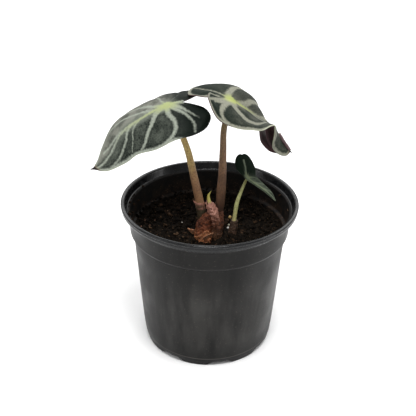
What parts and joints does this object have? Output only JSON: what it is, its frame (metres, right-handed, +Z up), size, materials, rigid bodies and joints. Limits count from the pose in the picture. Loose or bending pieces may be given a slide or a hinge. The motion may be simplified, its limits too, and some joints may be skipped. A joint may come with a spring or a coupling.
{
  "type": "potted alocasia",
  "caption": "Young potted aroid with large drooping velvet leaves and silvery veins, standing in soil in a black nursery pot.",
  "frame": {"origin": "on the table, under the middle of the whole plant's box", "axes": "+Z up the plant; -Y is the side from which it is usually seen, with the lower leaf at -X; the pot's axis is parallel to Z at X = +7.4 mm"},
  "size_m": [0.1347, 0.12, 0.186],
  "materials": {
    "pot_plastic": "satin black moulded polypropylene, scuffed",
    "soil": "moist peaty mix with bark crumbs",
    "corm_skin": "papery brown skin, ribbed",
    "dry_scale": "dry orange-brown scale",
    "pink_sheath": "thin pinkish sheath, crumpled",
    "shoot": "waxy yellow-green",
    "stalk": "waxy brown-green, speckled",
    "young_stalk": "waxy pale green",
    "leaf": "velvety dark green with silvery veins",
    "granule_yellow": "matte",
    "granule_white": "matte"
  },
  "bodies": {
    "root": {"pot": "pot_plastic", "soil": "soil", "corm": "corm_skin", "flap_left": "dry_scale", "flap_front": "dry_scale", "pink_sheath": "pink_sheath", "new_shoot": "shoot", "left_petiole": "stalk", "left_blade": "leaf", "right_petiole": "stalk", "right_blade": "leaf", "offset_corm": "corm_skin", "young_petiole": "young_stalk", "young_blade": "leaf", "granule_yellow": "granule_yellow", "granule_white_1": "granule_white", "granule_white_2": "granule_white"}
  },
  "joints": []
}
